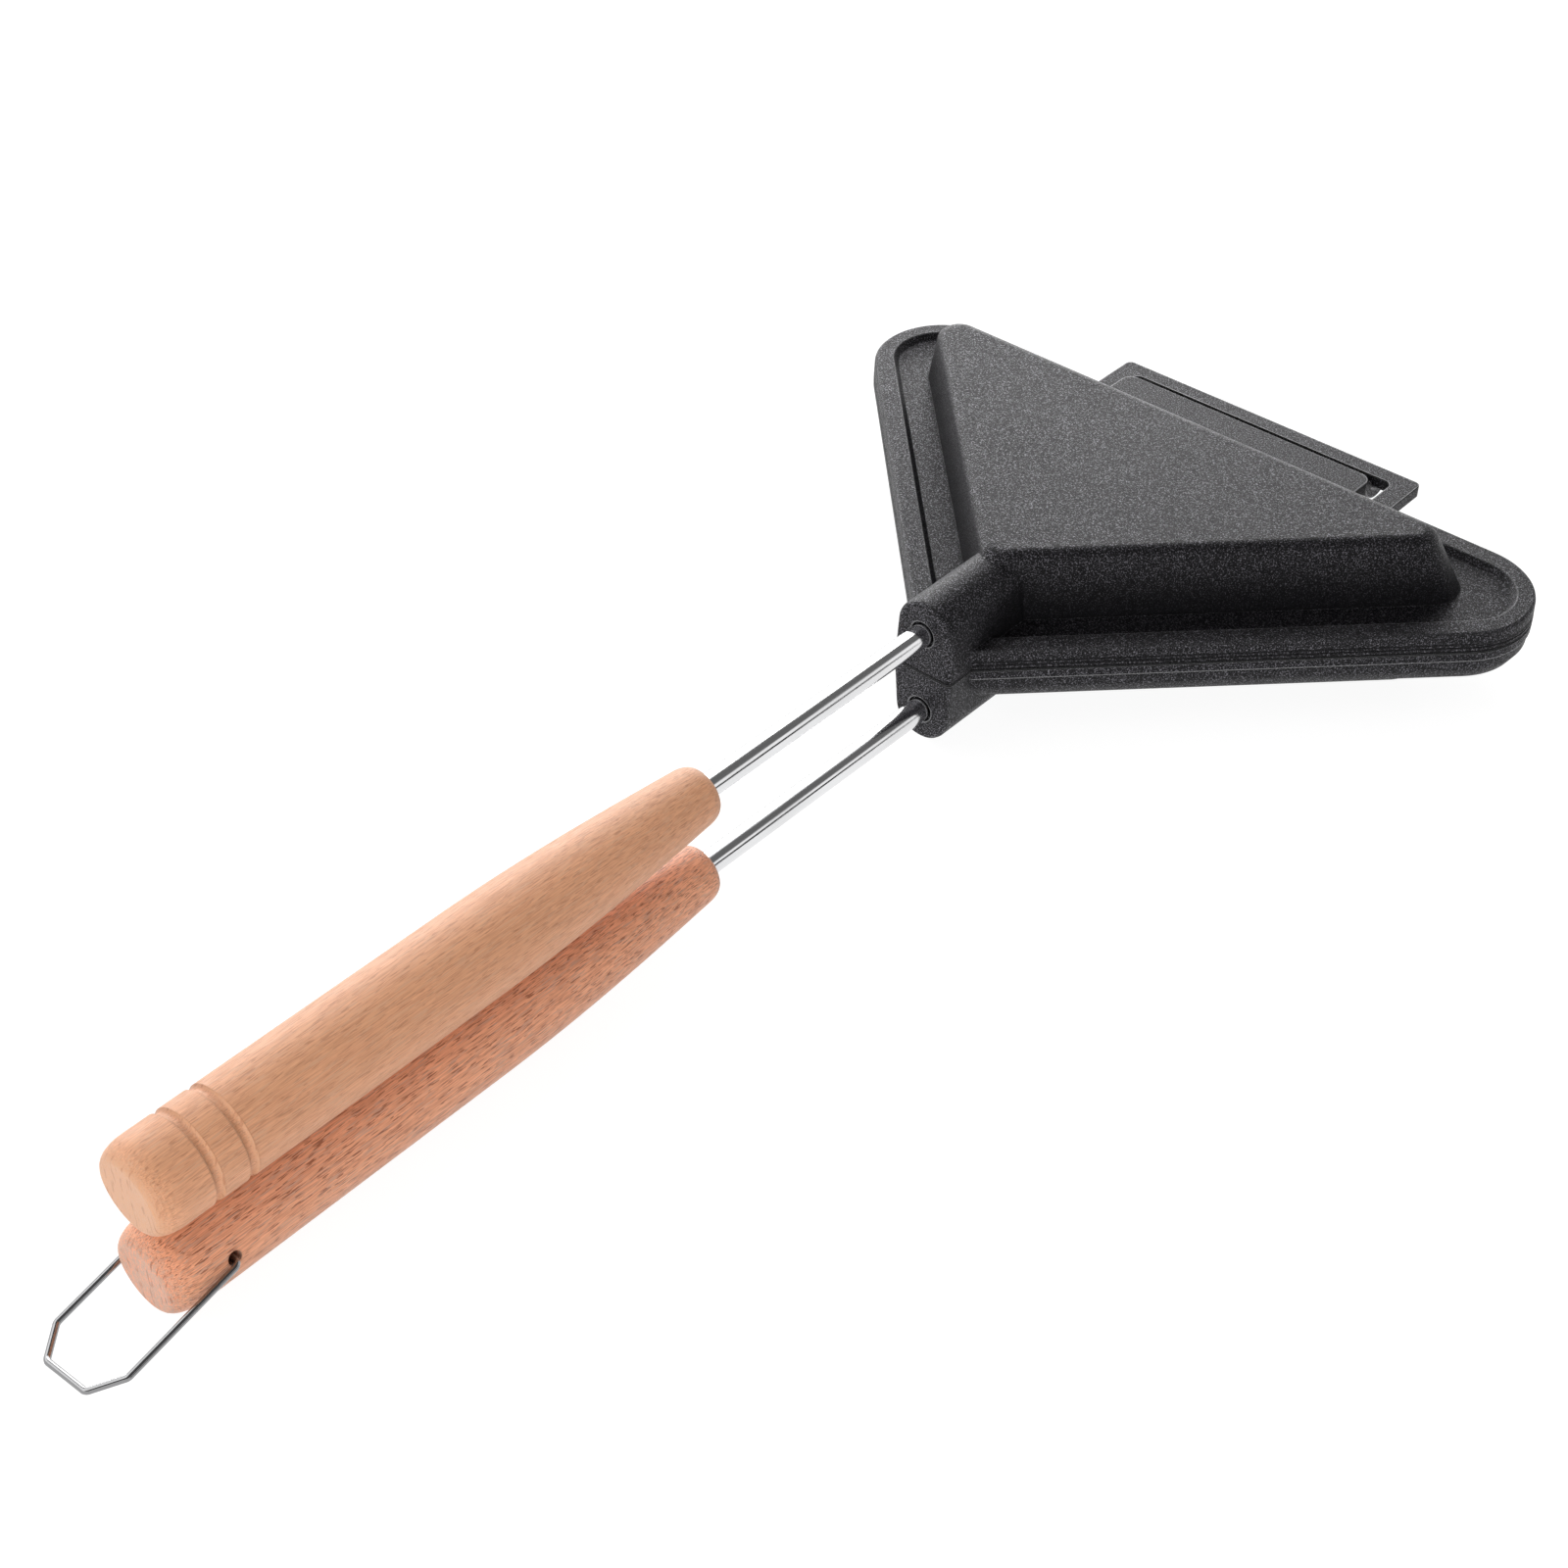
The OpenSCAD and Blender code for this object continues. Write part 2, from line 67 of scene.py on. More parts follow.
for leftover in list(bpy.data.objects):
    bpy.data.objects.remove(leftover)
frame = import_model()
CAD_BOX = [list(corner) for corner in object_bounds()]
MM = 0.001
PANS = ("lower_pan", "upper_pan")
STEEL_PIECES = ("lower_rod", "upper_rod", "lower_rod_pin", "upper_rod_pin")
PARTING_HEIGHT = 20.5 * MM


def node_box(name):
    """Lowest and highest corner of a node of the frame."""
    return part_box(name)


# Shader building

def add_node(tree, kind, sockets=None, **settings):
    """One shader node with its settings; sockets maps a socket's name or number to a value or a link."""
    made = tree.nodes.new(kind)
    for name, value in settings.items():
        setattr(made, name, value)
    for name, value in (sockets or {}).items():
        if isinstance(value, bpy.types.NodeSocket):
            tree.links.new(value, made.inputs[name])
        else:
            made.inputs[name].default_value = value
    return made


def blank_material(name):
    """A node material with only its surface shader and output; returns the material, tree and shader."""
    material = bpy.data.materials.new(name)
    material.use_nodes = True
    tree = material.node_tree
    tree.nodes.clear()
    shader = add_node(tree, "ShaderNodeBsdfPrincipled")
    output = add_node(tree, "ShaderNodeOutputMaterial")
    tree.links.new(shader.outputs["BSDF"], output.inputs["Surface"])
    return material, tree, shader


def place_on_piece(tree, stretch=(1.0, 1.0, 1.0), shift=(0.0, 0.0, 0.0)):
    """Coordinates in metres on the piece itself, stretched and shifted."""
    coordinates = add_node(tree, "ShaderNodeTexCoord")
    return add_node(tree, "ShaderNodeMapping", {
        "Vector": coordinates.outputs["Object"],
        "Location": shift,
        "Scale": stretch,
    }).outputs["Vector"]


def noise(tree, place, scale, detail=2.0, roughness=0.5, distortion=0.0):
    """Noise between 0 and 1."""
    return add_node(tree, "ShaderNodeTexNoise", {
        "Vector": place,
        "Scale": scale,
        "Detail": detail,
        "Roughness": roughness,
        "Distortion": distortion,
    }).outputs["Fac"]


def spread(tree, value, low, high, to_low=0.0, to_high=1.0):
    """Maps low to high onto to_low to to_high, held at both ends."""
    return add_node(tree, "ShaderNodeMapRange", {
        "Value": value,
        "From Min": low,
        "From Max": high,
        "To Min": to_low,
        "To Max": to_high,
    }).outputs["Result"]


def reckon(tree, operation, first, second=0.0):
    """One sum on two numbers."""
    return add_node(tree, "ShaderNodeMath", {0: first, 1: second}, operation=operation).outputs["Value"]


def blend_colours(tree, share, first, second, kind="MIX"):
    """Goes from the first colour to the second by share."""
    made = add_node(tree, "ShaderNodeMix", {0: share, 6: first, 7: second}, data_type="RGBA", blend_type=kind)
    return made.outputs[2]


def facing_length(tree):
    """How far a surface faces along the piece's length, 0 on its sides and 1 on its ends."""
    facing = add_node(tree, "ShaderNodeTexCoord").outputs["Normal"]
    along = add_node(tree, "ShaderNodeSeparateXYZ", {"Vector": facing}).outputs["Y"]
    return reckon(tree, "ABSOLUTE", along)


def facing_up(tree):
    """How far a surface faces straight up or down, 0 on upright walls and 1 on flats."""
    facing = add_node(tree, "ShaderNodeTexCoord").outputs["Normal"]
    climb = add_node(tree, "ShaderNodeSeparateXYZ", {"Vector": facing}).outputs["Z"]
    return reckon(tree, "ABSOLUTE", climb)


def near_height(tree, height, close, far):
    """1 within close of a height on the piece, 0 beyond far."""
    place = add_node(tree, "ShaderNodeTexCoord").outputs["Object"]
    level = add_node(tree, "ShaderNodeSeparateXYZ", {"Vector": place}).outputs["Z"]
    return spread(tree, reckon(tree, "ABSOLUTE", reckon(tree, "SUBTRACT", level, height)), close, far, 1.0, 0.0)


def crisp_edges(tree, reach):
    """1 on crisp edges and in tight corners, 0 on flats."""
    rounded = add_node(tree, "ShaderNodeBevel", {"Radius": reach}, samples=4).outputs["Normal"]
    facing = add_node(tree, "ShaderNodeNewGeometry").outputs["Normal"]
    alike = add_node(tree, "ShaderNodeVectorMath", {0: rounded, 1: facing}, operation="DOT_PRODUCT").outputs["Value"]
    return spread(tree, alike, 0.993, 0.94)


def proud_edges(tree, reach):
    """1 on outward edges, 0 on flats and in corners."""
    depth = add_node(tree, "ShaderNodeAmbientOcclusion", {"Distance": reach}, samples=6, inside=True, only_local=True)
    return spread(tree, depth.outputs["AO"], 0.90, 0.62)


def shut_in(tree, reach, open_share, shut_share):
    """0 where the piece leaves at least open_share of the view within reach, 1 where it leaves only shut_share."""
    view = add_node(tree, "ShaderNodeAmbientOcclusion", {"Distance": reach}, samples=6, only_local=True)
    return spread(tree, view.outputs["AO"], open_share, shut_share)


def raise_surface(tree, shader, height, depth):
    """Bumps the shader by a height between 0 and 1, depth metres deep."""
    bump = add_node(tree, "ShaderNodeBump", {"Height": height, "Distance": depth, "Strength": 1.0})
    tree.links.new(bump.outputs["Normal"], shader.inputs["Normal"])


def opaque(colour):
    """An RGB colour with full alpha."""
    return (*colour, 1.0)


def finish_piece(name, material):
    """Puts a material on every slot of a node of the frame."""
    piece = frame["nodes"][name]
    for place in piece.material_slots:
        place.material = material
    return piece


def even_shading_steps(name, reach):
    """Modifier steps that join a mesh's split edges within reach and shade it smooth across its flatter edges."""
    steps = bpy.data.node_groups.new(name, "GeometryNodeTree")
    steps.interface.new_socket("Geometry", in_out="INPUT", socket_type="NodeSocketGeometry")
    steps.interface.new_socket("Geometry", in_out="OUTPUT", socket_type="NodeSocketGeometry")
    given = steps.nodes.new("NodeGroupInput")
    result = steps.nodes.new("NodeGroupOutput")
    joined = add_node(steps, "GeometryNodeMergeByDistance", {
        "Geometry": given.outputs[0], "Distance": reach}).outputs[0]
    plain = add_node(steps, "GeometryNodeRemoveAttribute", {"Geometry": joined, "Name": "custom_normal"}).outputs[0]
    bend = add_node(steps, "GeometryNodeInputMeshEdgeAngle").outputs["Unsigned Angle"]
    shallow = add_node(steps, "FunctionNodeCompare", {0: bend, 1: math.radians(40.0)},
                       data_type="FLOAT", operation="LESS_THAN").outputs[0]
    faces = add_node(steps, "GeometryNodeSetShadeSmooth", {"Geometry": plain, "Shade Smooth": True},
                     domain="FACE").outputs[0]
    edges = add_node(steps, "GeometryNodeSetShadeSmooth", {"Geometry": faces, "Shade Smooth": shallow},
                     domain="EDGE").outputs[0]
    steps.links.new(edges, result.inputs[0])
    return steps


def shade_evenly(piece, name="even_shading", reach=0.002 * MM):
    """Shades a turned, bent or cast piece smooth."""
    steps = bpy.data.node_groups.get(name) or even_shading_steps(name, reach)
    piece.modifiers.new(name, "NODES").node_group = steps


def soften_edges(piece, width):
    """Rounds a cast piece's crisp edges by a narrow bevel and keeps its flats evenly shaded."""
    shade_evenly(piece, "cast_shading", 0.012 * MM)
    flat = piece.modifiers.new("clear_flats", "DECIMATE")
    flat.decimate_type = "DISSOLVE"
    flat.angle_limit = math.radians(0.2)
    flat.delimit = {"SHARP"}
    bevel = piece.modifiers.new("soft_edges", "BEVEL")
    bevel.limit_method = "ANGLE"
    bevel.angle_limit = math.radians(42.0)
    bevel.width = width
    bevel.segments = 2
    bevel.use_clamp_overlap = False
    bevel.miter_outer = "MITER_ARC"
    level = piece.modifiers.new("level_flats", "WEIGHTED_NORMAL")
    level.mode = "FACE_AREA"
    level.weight = 50
    level.keep_sharp = True


# Sizes and colours that a user may change

class CoatingSettings(bpy.types.PropertyGroup):
    """The baked coating on both pans."""
    colour: bpy.props.FloatVectorProperty(
        name="Coating", description="Colour of the coating", subtype="COLOR", size=3,
        default=(0.0042, 0.0041, 0.0048), min=0.0, max=1.0)
    fleck_colour: bpy.props.FloatVectorProperty(
        name="Flecks", description="Colour of the fine flecks in the coating", subtype="COLOR", size=3,
        default=(0.196, 0.190, 0.212), min=0.0, max=1.0)
    # Pale metal on the crisp edges: partly worn coating, partly a painted highlight.
    edge_wear_highlight_colour: bpy.props.FloatVectorProperty(
        name="Rubbed edges", description="Colour of the crisp edges where the coating is rubbed", subtype="COLOR",
        size=3, default=(0.52, 0.52, 0.53), min=0.0, max=1.0)
    fleck_size: bpy.props.FloatProperty(
        name="Fleck size", description="Width of one fleck", subtype="DISTANCE", unit="LENGTH",
        default=0.34 * MM, min=0.1 * MM, max=3 * MM, precision=5)
    grain_depth: bpy.props.FloatProperty(
        name="Grain depth", description="Depth of the coating's fine grain", subtype="DISTANCE", unit="LENGTH",
        default=0.12 * MM, min=0.0, max=0.5 * MM, precision=6)
    edge_width: bpy.props.FloatProperty(
        name="Edge rounding", description="Width of the rounding on the crisp cast edges",
        subtype="DISTANCE", unit="LENGTH", default=0.14 * MM, min=0.05 * MM, max=1 * MM, precision=5)


class SteelSettings(bpy.types.PropertyGroup):
    """The plated steel of the rods, pins and loop."""
    colour: bpy.props.FloatVectorProperty(
        name="Steel", description="Colour of the plating", subtype="COLOR", size=3,
        default=(0.84, 0.84, 0.85), min=0.0, max=1.0)
    polish: bpy.props.FloatProperty(
        name="Roughness", description="Roughness of the plating", subtype="FACTOR",
        default=0.13, min=0.05, max=0.8)
    wire_colour: bpy.props.FloatVectorProperty(
        name="Wire", description="Colour of the loop's duller wire", subtype="COLOR", size=3,
        default=(0.34, 0.34, 0.345), min=0.0, max=1.0)


class WoodSettings(bpy.types.PropertyGroup):
    """The turned wood of one grip."""
    colour: bpy.props.FloatVectorProperty(
        name="Wood", description="Main colour of the wood", subtype="COLOR", size=3,
        default=(0.75, 0.370, 0.206), min=0.0, max=1.0)
    late_colour: bpy.props.FloatVectorProperty(
        name="Late wood", description="Colour of the darker growth bands", subtype="COLOR", size=3,
        default=(0.62, 0.320, 0.172), min=0.0, max=1.0)
    # This colour also paints shade into the grips' grooves and along their crisp edges.
    fleck_colour: bpy.props.FloatVectorProperty(
        name="Flecks", description="Colour of the short flecks along the grain", subtype="COLOR", size=3,
        default=(0.38, 0.155, 0.075), min=0.0, max=1.0)
    end_colour: bpy.props.FloatVectorProperty(
        name="End grain", description="Colour of the butt's end grain", subtype="COLOR", size=3,
        default=(0.60, 0.335, 0.205), min=0.0, max=1.0)
    pore_strength: bpy.props.FloatProperty(
        name="Pores", description="How dark the short pores show", subtype="FACTOR", default=0.60, min=0.0, max=1.0)


class StageSettings(bpy.types.PropertyGroup):
    """The floor, the lamps and the camera."""
    camera_place: bpy.props.FloatVectorProperty(
        name="Camera", description="Place of the camera", subtype="TRANSLATION", unit="LENGTH", size=3,
        default=(0.28097, -0.42805, 0.37327))
    camera_turn: bpy.props.FloatProperty(
        name="Turn", description="Compass angle of the view, 0 looking away from the handles",
        subtype="ANGLE", unit="ROTATION", default=math.radians(41.99))
    camera_height: bpy.props.FloatProperty(
        name="Height", description="Angle of the view above level", subtype="ANGLE", unit="ROTATION",
        default=math.radians(40.32))
    camera_roll: bpy.props.FloatProperty(
        name="Roll", description="Lean of the view", subtype="ANGLE", unit="ROTATION",
        default=math.radians(-0.27))
    lens: bpy.props.FloatProperty(
        name="Lens", description="Focal length in millimetres on a 36 mm sensor", default=58.957, min=10.0)
    key_level: bpy.props.FloatProperty(
        name="Key lamp", description="Radiant power of the large lamp behind the pans", subtype="POWER",
        default=12.0, min=0.0)
    top_level: bpy.props.FloatProperty(
        name="Top lamp", description="Radiant power of the lamp over the handles", subtype="POWER",
        default=6.0, min=0.0)
    fill_level: bpy.props.FloatProperty(
        name="Fill lamp", description="Radiant power of the low lamp in front of the handles", subtype="POWER",
        default=7.8, min=0.0)
    rim_level: bpy.props.FloatProperty(
        name="Rim lamp", description="Radiant power of the low lamp behind the pans", subtype="POWER",
        default=8.5, min=0.0)
    ambient_level: bpy.props.FloatProperty(
        name="Ambient", description="Strength of the even light from all round", subtype="FACTOR",
        default=0.24, min=0.0, max=2.0)
    ceiling_level: bpy.props.FloatProperty(
        name="Ceiling", description="Strength of the dim ceiling that polished steel reflects", subtype="FACTOR",
        default=0.14, min=0.0, max=1.0)
    floor_colour: bpy.props.FloatVectorProperty(
        name="Floor", description="Colour of the floor", subtype="COLOR", size=3,
        default=(0.90, 0.90, 0.90), min=0.0, max=1.0)


class SandwichMakerSettings(bpy.types.PropertyGroup):
    """All settings of the sandwich maker."""
    coating: bpy.props.PointerProperty(type=CoatingSettings, name="Coating", description="Coating of the pans")
    steel: bpy.props.PointerProperty(type=SteelSettings, name="Steel", description="Steel of the rods and loop")
    upper_wood: bpy.props.PointerProperty(type=WoodSettings, name="Upper grip", description="Wood of the upper grip")
    lower_wood: bpy.props.PointerProperty(type=WoodSettings, name="Lower grip", description="Wood of the lower grip")
    stage: bpy.props.PointerProperty(type=StageSettings, name="Stage", description="Floor, lamps and camera")


def settings():
    """The scene's settings."""
    return bpy.context.scene.sandwich_maker


# Finishes

def coating_finish(coat):
    """Satin black coating full of fine metallic flecks, with painted light and shade: fewer flecks on shut-in upright
    walls and more on open ones, extra flecks on the socket ends as a painted highlight, crisp edges in pale metal
    that are partly worn coating and partly a painted highlight, and painted shade in tight corners and along the seam
    between the pans.
    """
    material, tree, shader = blank_material("flecked_coating")
    place = place_on_piece(tree)
    grains = noise(tree, place, 1.0 / coat.fleck_size, detail=2.0, roughness=0.8)
    clouds = noise(tree, place, 38.0, detail=4.0, roughness=0.6)
    flat = facing_up(tree)
    upright = reckon(tree, "SUBTRACT", 1.0, flat)
    # Painted shade and light: bright flecks thin out on upright walls where the pan shuts in the view, and grow a
    # little denser on open upright walls.
    sheltered_shade = shut_in(tree, 14.0 * MM, 1.0, 0.45)
    wall_shade_and_light = reckon(tree, "MULTIPLY", upright, spread(tree, sheltered_shade, 0.0, 0.55, -0.28, 0.95))
    # Painted highlight: extra bright flecks on the socket ends that face the handles.
    mouth = node_box("upper_pan")[0][1]
    along = add_node(tree, "ShaderNodeSeparateXYZ", {"Vector": place}).outputs["Y"]
    socket_end_highlight = reckon(tree, "MULTIPLY", spread(tree, along, mouth + 2.0 * MM, mouth + 9.0 * MM, 1.5, 0.0),
                     facing_length(tree))
    painted_light_fleck_share = reckon(tree, "ADD", reckon(tree, "SUBTRACT", 1.0, wall_shade_and_light), socket_end_highlight)
    flecks = reckon(tree, "MULTIPLY", spread(tree, grains, 0.55, 0.65), spread(tree, clouds, 0.3, 0.7, 0.75, 1.0))
    flecks = add_node(tree, "ShaderNodeMath", {0: flecks, 1: painted_light_fleck_share}, operation="MULTIPLY",
                      use_clamp=True).outputs["Value"]
    flecked = blend_colours(tree, flecks, opaque(coat.colour), opaque(coat.fleck_colour))

    steep = spread(tree, flat, 0.70, 0.95, 1.0, 0.0)
    # Painted shade along the seam between the two pans, on steep faces.
    painted_seam_shade = reckon(tree, "MULTIPLY", near_height(tree, PARTING_HEIGHT, 0.32 * MM, 0.52 * MM), steep)
    ribbed = reckon(tree, "MULTIPLY", near_height(tree, PARTING_HEIGHT + 1.2 * MM, 1.35 * MM, 1.6 * MM), steep)
    away = reckon(tree, "SUBTRACT", 1.0, ribbed)
    # Crisp outward edges turn pale metal: partly worn coating, partly a painted highlight.
    edge_wear_and_painted_highlight = reckon(tree, "MULTIPLY", proud_edges(tree, 0.45 * MM), spread(tree, clouds, 0.3, 0.7, 0.55, 0.95))
    edge_wear_and_painted_highlight = reckon(tree, "MULTIPLY", edge_wear_and_painted_highlight, away)
    colour = blend_colours(tree, edge_wear_and_painted_highlight, flecked, opaque(coat.edge_wear_highlight_colour))
    # Painted shade: tight corners and the seam between the pans turn near black and duller.
    painted_crevice_and_seam_shade = reckon(tree, "MAXIMUM", shut_in(tree, 1.3 * MM, 0.80, 0.42), painted_seam_shade)
    tree.links.new(blend_colours(tree, reckon(tree, "MULTIPLY", painted_crevice_and_seam_shade, 0.90), colour, (0.002, 0.002, 0.002, 1.0)),
                   shader.inputs["Base Color"])
    fleck_and_edge_highlight_metal = reckon(tree, "MAXIMUM", reckon(tree, "MULTIPLY", flecks, 0.90), edge_wear_and_painted_highlight)
    tree.links.new(fleck_and_edge_highlight_metal, shader.inputs["Metallic"])
    dullness = reckon(tree, "ADD", spread(tree, clouds, 0.3, 0.7, 0.41, 0.47),
                      spread(tree, grains, 0.3, 0.7, 0.08, -0.10))
    dullness = reckon(tree, "ADD", dullness, reckon(tree, "MULTIPLY", painted_crevice_and_seam_shade, 0.35))
    tree.links.new(dullness, shader.inputs["Roughness"])
    shader.inputs["Specular IOR Level"].default_value = 0.13
    relief = noise(tree, place, 0.8 / coat.fleck_size, detail=3.0, roughness=0.7)
    raise_surface(tree, shader, relief, coat.grain_depth)
    return material


def steel_finish(name, colour, polish):
    """Plated steel, drawn lengthwise."""
    material, tree, shader = blank_material(name)
    drawn = noise(tree, place_on_piece(tree, stretch=(1.0, 0.02, 1.0)), 2600.0, detail=3.0)
    smears = noise(tree, place_on_piece(tree, stretch=(1.0, 0.25, 1.0)), 160.0, detail=3.0)
    shader.inputs["Metallic"].default_value = 1.0
    shade = blend_colours(tree, spread(tree, smears, 0.35, 0.65), opaque(colour), opaque([0.90 * c for c in colour]))
    tree.links.new(shade, shader.inputs["Base Color"])
    dullness = reckon(tree, "ADD", spread(tree, smears, 0.3, 0.7, polish - 0.03, polish + 0.05),
                      spread(tree, drawn, 0.3, 0.7, -0.02, 0.03))
    tree.links.new(dullness, shader.inputs["Roughness"])
    raise_surface(tree, shader, drawn, 0.006 * MM)
    return material


def wood_finish(name, wood, heart):
    """Turned beech: growth bands round an off-centre heart, fine fibres, pale streaks of painted sheen along the
    grain, short pores, painted shade in grooves and along crisp edges, and paler end grain.
    """
    material, tree, shader = blank_material(name)
    along = place_on_piece(tree, stretch=(1.0, 0.035, 1.0), shift=heart)
    waver = noise(tree, along, 55.0, detail=3.0)
    split = add_node(tree, "ShaderNodeSeparateXYZ", {"Vector": along})
    across = reckon(tree, "SQRT", reckon(
        tree, "ADD",
        reckon(tree, "POWER", split.outputs["X"], 2.0),
        reckon(tree, "POWER", split.outputs["Z"], 2.0)))
    ring = reckon(tree, "FRACT", reckon(tree, "ADD", reckon(tree, "MULTIPLY", across, 420.0),
                                       reckon(tree, "MULTIPLY", waver, 2.6)))
    late = spread(tree, ring, 0.55, 1.0, 0.0, 0.22)
    zones = noise(tree, place_on_piece(tree, stretch=(1.0, 0.05, 1.0), shift=heart), 75.0, detail=2.0)
    tone = reckon(tree, "ADD", late, spread(tree, zones, 0.36, 0.64, 0.0, 0.42))
    timber = blend_colours(tree, tone, opaque(wood.colour), opaque(wood.late_colour))

    fibres = noise(tree, place_on_piece(tree, stretch=(1.0, 0.035, 1.0)), 4400.0, detail=2.0, roughness=0.6)
    timber = blend_colours(tree, spread(tree, fibres, 0.38, 0.64, 0.0, 0.44), timber, opaque(wood.fleck_colour))
    # Painted sheen: pale streaks along the grain in the end-grain colour.
    painted_sheen_streaks = noise(tree, place_on_piece(tree, stretch=(1.0, 0.06, 1.0), shift=(0.31, 0.0, 0.17)), 3000.0, detail=1.0)
    timber = blend_colours(tree, spread(tree, painted_sheen_streaks, 0.56, 0.63, 0.0, 0.60), timber, opaque(wood.end_colour))
    pores = noise(tree, place_on_piece(tree, stretch=(1.0, 0.075, 1.0)), 4300.0, detail=1.0, roughness=0.5)
    dashes = reckon(tree, "MULTIPLY", spread(tree, pores, 0.60, 0.64),
                    spread(tree, zones, 0.3, 0.7, 0.8 * wood.pore_strength, wood.pore_strength))
    timber = blend_colours(tree, dashes, timber, opaque(wood.fleck_colour))
    # Painted shade: the wood darkens in grooves and along crisp edges.
    painted_groove_shade = crisp_edges(tree, 0.6 * MM)
    timber = blend_colours(tree, reckon(tree, "MULTIPLY", painted_groove_shade, 0.40), timber, opaque(wood.fleck_colour))

    cut_across = spread(tree, facing_length(tree), 0.34, 0.80)
    speckle = noise(tree, place_on_piece(tree, stretch=(1.0, 1.0, 0.45)), 2400.0, detail=2.0, roughness=0.8)
    end_grain = blend_colours(tree, spread(tree, speckle, 0.49, 0.60, 0.0, 0.95), opaque(wood.end_colour),
                              opaque(wood.late_colour))
    checks = noise(tree, place_on_piece(tree, stretch=(1.0, 0.3, 0.16)), 1500.0, detail=2.0)
    end_grain = blend_colours(tree, spread(tree, checks, 0.58, 0.64, 0.0, 0.7), end_grain, opaque(wood.fleck_colour))
    colour = blend_colours(tree, reckon(tree, "MULTIPLY", cut_across, 0.85), timber, end_grain)
    tree.links.new(colour, shader.inputs["Base Color"])
    tree.links.new(spread(tree, fibres, 0.3, 0.7, 0.40, 0.52), shader.inputs["Roughness"])
    shader.inputs["Specular IOR Level"].default_value = 0.45
    shader.inputs["Sheen Weight"].default_value = 0.22
    shader.inputs["Sheen Roughness"].default_value = 0.4
    shader.inputs["Sheen Tint"].default_value = (1.0, 0.86, 0.72, 1.0)
    relief = reckon(tree, "SUBTRACT", reckon(tree, "MULTIPLY", fibres, 0.5), reckon(tree, "MULTIPLY", dashes, 0.5))
    raise_surface(tree, shader, relief, 0.07 * MM)
    return material


# Stage

def stage_floor(stage):
    """A pale floor, white to the camera and in reflections, that keeps the object's soft shadow."""
    half = 3.0
    mesh = bpy.data.meshes.new("floor")
    mesh.from_pydata([(-half, -half, 0), (half, -half, 0), (half, half, 0), (-half, half, 0)], [], [(0, 1, 2, 3)])
    floor = bpy.data.objects.new("floor", mesh)
    bpy.context.scene.collection.objects.link(floor)
    floor.location.z = -0.05 * MM
    material = bpy.data.materials.new("pale_floor")
    material.use_nodes = True
    tree = material.node_tree
    tree.nodes.clear()
    path = add_node(tree, "ShaderNodeLightPath")
    paper = add_node(tree, "ShaderNodeBsdfDiffuse", {"Color": opaque(stage.floor_colour)})
    faint = add_node(tree, "ShaderNodeBsdfDiffuse", {"Color": (0.22, 0.22, 0.22, 1.0)})
    place = add_node(tree, "ShaderNodeTexCoord").outputs["Object"]
    away = add_node(tree, "ShaderNodeVectorMath", {0: place}, operation="LENGTH").outputs["Value"]
    glow = add_node(tree, "ShaderNodeEmission", {"Strength": spread(tree, away, 0.45, 1.0, 0.91, 1.0)})
    seen = add_node(tree, "ShaderNodeAddShader", {0: faint.outputs[0], 1: glow.outputs[0]})
    white = add_node(tree, "ShaderNodeEmission", {"Strength": 1.0})
    mirrored = reckon(tree, "MAXIMUM", path.outputs["Is Glossy Ray"], path.outputs["Is Transmission Ray"])
    bounced = add_node(tree, "ShaderNodeMixShader", {0: mirrored, 1: paper.outputs[0], 2: white.outputs[0]})
    surface = add_node(tree, "ShaderNodeMixShader", {
        0: path.outputs["Is Camera Ray"], 1: bounced.outputs[0], 2: seen.outputs[0]})
    output = add_node(tree, "ShaderNodeOutputMaterial")
    tree.links.new(surface.outputs[0], output.inputs["Surface"])
    mesh.materials.append(material)


def stage_world(stage):
    """Even light from all round; white to the camera, and white under a dim ceiling in reflections."""
    world = bpy.data.worlds.new("studio")
    bpy.context.scene.world = world
    world.use_nodes = True
    tree = world.node_tree
    tree.nodes.clear()
    path = add_node(tree, "ShaderNodeLightPath")
    even = add_node(tree, "ShaderNodeBackground", {"Strength": stage.ambient_level})
    even.inputs["Color"].default_value = (1, 1, 1, 1)
    white = add_node(tree, "ShaderNodeBackground", {"Strength": 1.0})
    white.inputs["Color"].default_value = (1, 1, 1, 1)
    outward = add_node(tree, "ShaderNodeTexCoord").outputs["Generated"]
    climb = add_node(tree, "ShaderNodeSeparateXYZ", {"Vector": outward}).outputs["Z"]
    room = add_node(tree, "ShaderNodeBackground", {"Strength": spread(tree, climb, 0.40, 0.50, 1.0, stage.ceiling_level)})
    room.inputs["Color"].default_value = (1, 1, 1, 1)
    mirrored = reckon(tree, "MAXIMUM", path.outputs["Is Glossy Ray"], path.outputs["Is Transmission Ray"])
    unseen = add_node(tree, "ShaderNodeMixShader", {0: mirrored, 1: even.outputs[0], 2: room.outputs[0]})
    both = add_node(tree, "ShaderNodeMixShader", {
        0: path.outputs["Is Camera Ray"], 1: unseen.outputs[0], 2: white.outputs[0]})
    output = add_node(tree, "ShaderNodeOutputWorld")
    tree.links.new(both.outputs[0], output.inputs["Surface"])


def hang_lamp(name, place, aim, width, depth, power):
    """A soft rectangular lamp that faces a point."""
    data = bpy.data.lights.new(name, "AREA")
    data.shape = "RECTANGLE"
    data.size = width
    data.size_y = depth
    data.energy = power
    lamp = bpy.data.objects.new(name, data)
    bpy.context.scene.collection.objects.link(lamp)
    lamp.location = place
    lamp.rotation_mode = "QUATERNION"
    lamp.rotation_quaternion = (Vector(aim) - Vector(place)).to_track_quat("-Z", "Y")
    return lamp


